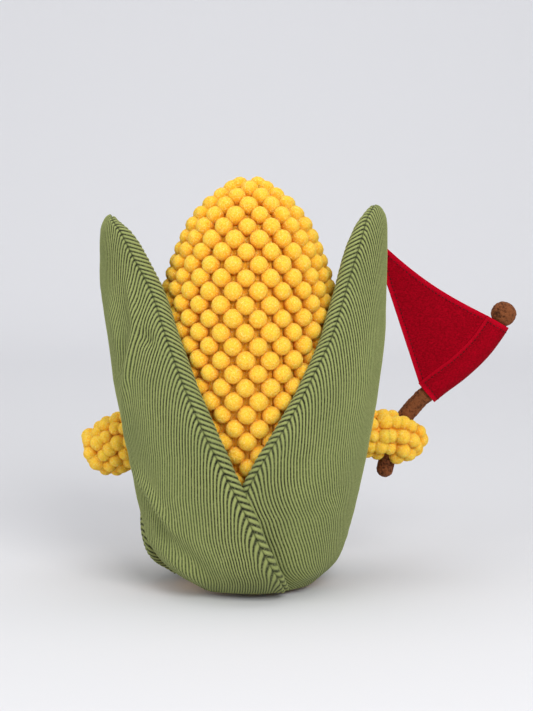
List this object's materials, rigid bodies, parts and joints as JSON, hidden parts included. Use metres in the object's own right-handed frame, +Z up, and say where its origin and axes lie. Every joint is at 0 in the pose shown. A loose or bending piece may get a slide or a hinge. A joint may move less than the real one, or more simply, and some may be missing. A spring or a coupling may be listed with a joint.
{
  "type": "plush corn cob toy",
  "caption": "Stuffed soft toy shaped like a corn cob, in bobble fleece with padded corduroy husk leaves and small arms, one arm holding a felt pennant on a plush stick.",
  "frame": {"origin": "centre of the flat base panel's underside, on the cob's axis", "axes": "+Z up along the cob's axis, the front where the leaves cross faces -Y, the pennant is on the +X side"},
  "size_m": [0.2476, 0.1336, 0.2265],
  "materials": {
    "bobble_fleece": "yellow bobble fleece, matt and fuzzy",
    "green_corduroy": "fine green corduroy, matt with a soft sheen on the ribs",
    "red_felt": "deep red wool felt, matt",
    "brown_plush": "short brown plush",
    "fibre_fill": "white polyester fibre",
    "bag_cloth": "plain woven bag filled with pellets",
    "stick_core": "bendable plain rod"
  },
  "bodies": {
    "root": {"back_leaf_inner_panel": "green_corduroy", "back_leaf_outer_panel": "green_corduroy", "back_leaf_wadding": "fibre_fill", "base_panel": "green_corduroy", "cob_cover": "bobble_fleece", "cob_stuffing": "fibre_fill", "flag": "red_felt", "flag_stick_core": "stick_core", "flag_stick_cover": "brown_plush", "left_arm_cover": "bobble_fleece", "left_arm_stuffing": "fibre_fill", "left_leaf_inner_panel": "green_corduroy", "left_leaf_outer_panel": "green_corduroy", "left_leaf_wadding": "fibre_fill", "pellet_bag": "bag_cloth", "right_arm_cover": "bobble_fleece", "right_arm_stuffing": "fibre_fill", "right_leaf_inner_panel": "green_corduroy", "right_leaf_outer_panel": "green_corduroy", "right_leaf_wadding": "fibre_fill"}
  },
  "joints": []
}
